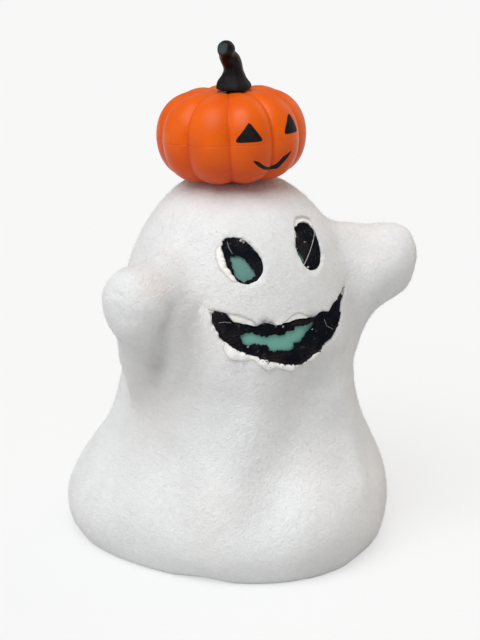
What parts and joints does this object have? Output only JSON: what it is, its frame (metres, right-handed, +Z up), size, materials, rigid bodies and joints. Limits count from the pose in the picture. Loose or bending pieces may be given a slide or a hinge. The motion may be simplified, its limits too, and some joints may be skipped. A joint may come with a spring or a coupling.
{
  "type": "ghost lantern",
  "caption": "White flocked hollow ghost with raised arms, cut eyes and smile closed by teal film, a lobed orange pumpkin with a dark stem on its head, and a battery light in its base.",
  "frame": {"origin": "centre of the hem's footprint, on the surface that it stands on", "axes": "+Z up to the stem, the ghost's face looks along -Y, +X to the ghost's left"},
  "size_m": [0.1144, 0.109, 0.1677],
  "materials": {
    "white_flock": "flocked",
    "black_felt": "rough felt",
    "teal_film": "translucent film",
    "orange_moulding": "glossy",
    "dark_stem": "satin",
    "white_plate": "fine texture",
    "bright_steel": "drawn",
    "nickel_contact": "nickel plated",
    "cell_jacket": "satin sleeve",
    "board_green": "solder mask",
    "clear_lamp": "clear epoxy",
    "resistor_body": "lacquered",
    "switch_black": "moulded",
    "red_insulation": "insulation",
    "black_insulation": "insulation",
    "zinc_screw": "zinc plated"
  },
  "bodies": {
    "ghost": {"ghost_shell": "white_flock", "face_liner": "black_felt", "face_film": "teal_film", "pumpkin_lower_half": "orange_moulding", "pumpkin_upper_half": "orange_moulding", "pumpkin_stem": "dark_stem", "base_plate": "white_plate", "door_hinge_pin": "bright_steel", "contact_springs": "nickel_contact", "contact_plates": "nickel_contact", "aaa_cells": "cell_jacket", "light_board": "board_green", "led": "clear_lamp", "led_resistor": "resistor_body", "switch_case": "switch_black", "red_leads": "red_insulation", "black_lead": "black_insulation", "base_screws": "zinc_screw", "board_screws": "zinc_screw"},
    "battery_door": {"battery_door": "white_plate"},
    "switch_slider": {"switch_slider": "switch_black"}
  },
  "joints": [
    {"name": "door_hinge", "type": "hinge", "parent": "ghost", "child": "battery_door", "pos_m": [0, 0.0169, 0.003], "axis": [1, 0, 0], "range_deg": [0, 100]},
    {"name": "switch_slide", "type": "slide", "parent": "ghost", "child": "switch_slider", "axis": [1, 0, 0], "range_m": [0, 0.002]}
  ]
}
